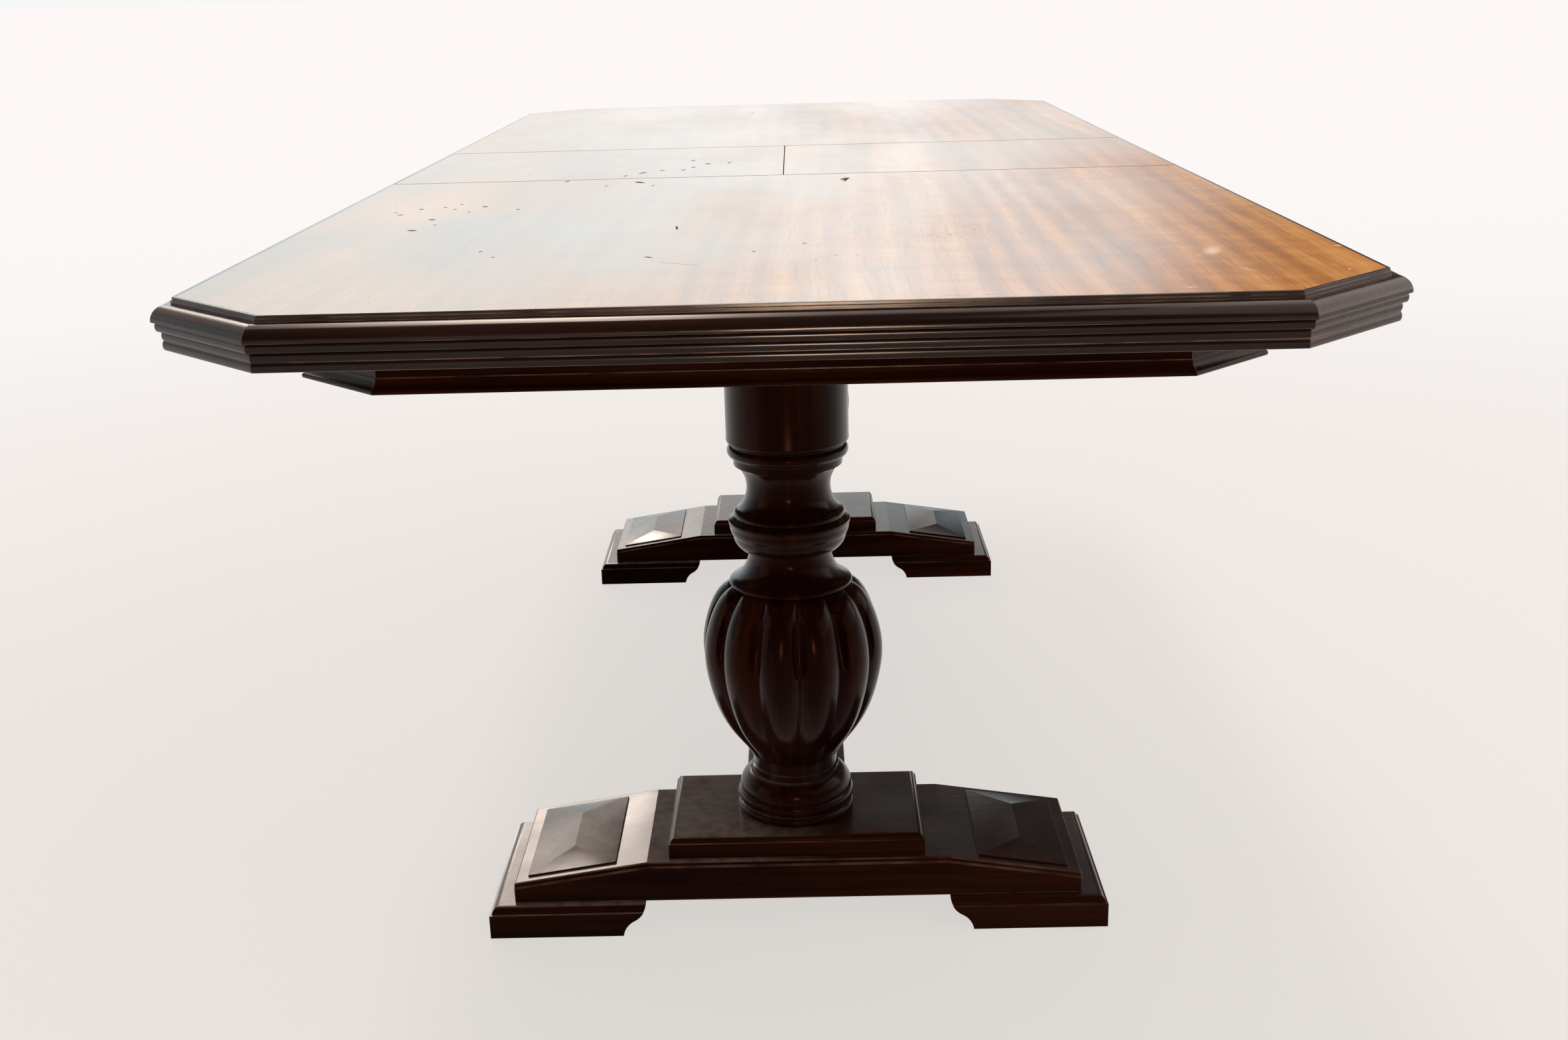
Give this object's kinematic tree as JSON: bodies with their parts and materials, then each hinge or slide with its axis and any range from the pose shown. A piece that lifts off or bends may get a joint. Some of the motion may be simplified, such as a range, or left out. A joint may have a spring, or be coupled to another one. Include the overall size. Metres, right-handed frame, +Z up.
{
  "type": "extending dining table",
  "caption": "Canted-corner extending dining table on gadrooned pedestal columns, with half tops that slide over an apron and a folding leaf between them.",
  "frame": {"origin": "on the floor under the middle of the leaf, which is the middle of the table", "axes": "+X across the table, +Y along it, away from the end that the picture shows, +Z up"},
  "size_m": [1, 2.24, 0.76],
  "materials": {
    "veneered_top": "satin lacquered veneer",
    "stained_wood": "dark red-brown stain, satin",
    "inner_wood": "plain sawn and waxed",
    "steel": "zinc plated",
    "brass": "plain"
  },
  "bodies": {
    "base": {"back_bearer": "stained_wood", "back_column": "stained_wood", "back_cross_rail": "inner_wood", "back_end_rail": "stained_wood", "back_foot_beam": "stained_wood", "back_left_corner_rail": "stained_wood", "back_left_foot_pad": "stained_wood", "back_left_foot_panel": "stained_wood", "back_plinth_block": "stained_wood", "back_right_corner_rail": "stained_wood", "back_right_foot_pad": "stained_wood", "back_right_foot_panel": "stained_wood", "bearer_bolts": "steel", "column_bolts": "steel", "corner_blocks": "inner_wood", "front_bearer": "stained_wood", "front_column": "stained_wood", "front_cross_rail": "inner_wood", "front_end_rail": "stained_wood", "front_foot_beam": "stained_wood", "front_left_corner_rail": "stained_wood", "front_left_foot_pad": "stained_wood", "front_left_foot_panel": "stained_wood", "front_plinth_block": "stained_wood", "front_right_corner_rail": "stained_wood", "front_right_foot_pad": "stained_wood", "front_right_foot_panel": "stained_wood", "left_guide_rail": "inner_wood", "left_side_rail": "stained_wood", "right_guide_rail": "inner_wood", "right_side_rail": "stained_wood", "stretcher": "stained_wood"},
    "front_top": {"front_board": "veneered_top", "front_end_edging": "stained_wood", "front_left_cant_edging": "stained_wood", "front_left_runner": "inner_wood", "front_left_side_edging": "stained_wood", "front_right_cant_edging": "stained_wood", "front_right_runner": "inner_wood", "front_right_side_edging": "stained_wood", "front_runner_screws": "steel"},
    "back_top": {"back_board": "veneered_top", "back_end_edging": "stained_wood", "back_left_cant_edging": "stained_wood", "back_left_runner": "inner_wood", "back_left_side_edging": "stained_wood", "back_right_cant_edging": "stained_wood", "back_right_runner": "inner_wood", "back_right_side_edging": "stained_wood", "back_runner_screws": "steel"},
    "right_leaf": {"right_leaf_edging": "stained_wood", "right_leaf_hinge_barrels": "brass", "right_leaf_panel": "veneered_top"},
    "left_leaf": {"left_leaf_edging": "stained_wood", "left_leaf_hinge_barrels": "brass", "left_leaf_panel": "veneered_top"}
  },
  "joints": [
    {"name": "front_top_slide", "type": "slide", "parent": "base", "child": "front_top", "axis": [0, -1, 0], "range_m": [0, 0.05]},
    {"name": "back_top_slide", "type": "slide", "parent": "base", "child": "back_top", "axis": [0, 1, 0], "range_m": [0, 0.05]},
    {"name": "leaf_lift", "type": "slide", "parent": "base", "child": "right_leaf", "axis": [0, 0, 1], "range_m": [0, 0.12]},
    {"name": "leaf_fold", "type": "hinge", "parent": "right_leaf", "child": "left_leaf", "pos_m": [0, 0, 0.76015], "axis": [0, 1, 0], "range_deg": [0, 179]}
  ]
}
